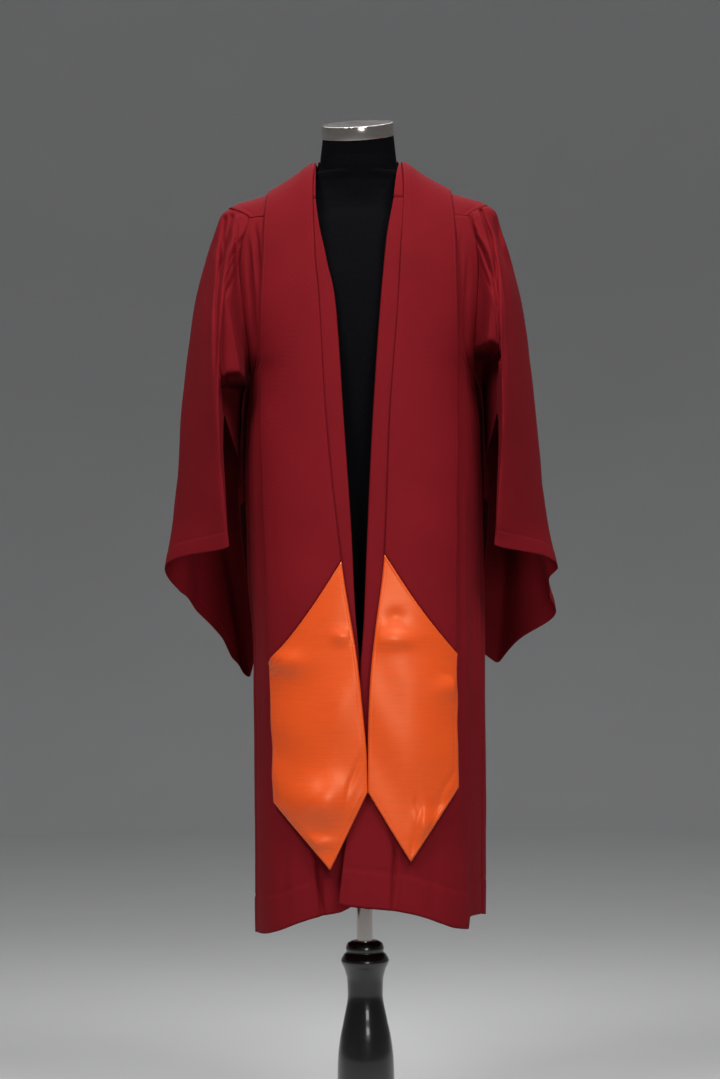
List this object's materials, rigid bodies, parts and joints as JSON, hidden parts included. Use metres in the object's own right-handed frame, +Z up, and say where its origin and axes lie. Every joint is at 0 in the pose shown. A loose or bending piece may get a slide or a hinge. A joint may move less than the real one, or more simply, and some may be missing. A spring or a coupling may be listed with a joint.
{
  "type": "graduation gown on a dress form",
  "caption": "Long open-fronted graduation gown with wide pointed sleeves, worn with a satin-ended stole on a limbless dress form and its turned stand.",
  "frame": {"origin": "centre of the stand's underside, on the floor", "axes": "+Z up along the pole, -Y out of the front of the gown, +X to the viewer's right"},
  "size_m": [0.6191, 0.4536, 1.6555],
  "materials": {
    "gown_cloth": "matt burgundy twill",
    "stole_satin": "orange satin with a fine slub across",
    "form_jersey": "matt black jersey",
    "chrome": "polished",
    "stand_lacquer": "gloss black lacquer"
  },
  "bodies": {
    "root": {"yoke": "gown_cloth", "neckband": "gown_cloth", "front_left": "gown_cloth", "front_right": "gown_cloth", "back": "gown_cloth", "sleeve_left": "gown_cloth", "sleeve_right": "gown_cloth", "stole_left": "gown_cloth", "stole_right": "gown_cloth", "stole_end_left": "stole_satin", "stole_end_right": "stole_satin", "form_body": "form_jersey", "form_base_plate": "stand_lacquer", "neck_cap": "chrome", "pole": "chrome", "stand_column": "stand_lacquer", "stand_base": "stand_lacquer"}
  },
  "joints": []
}
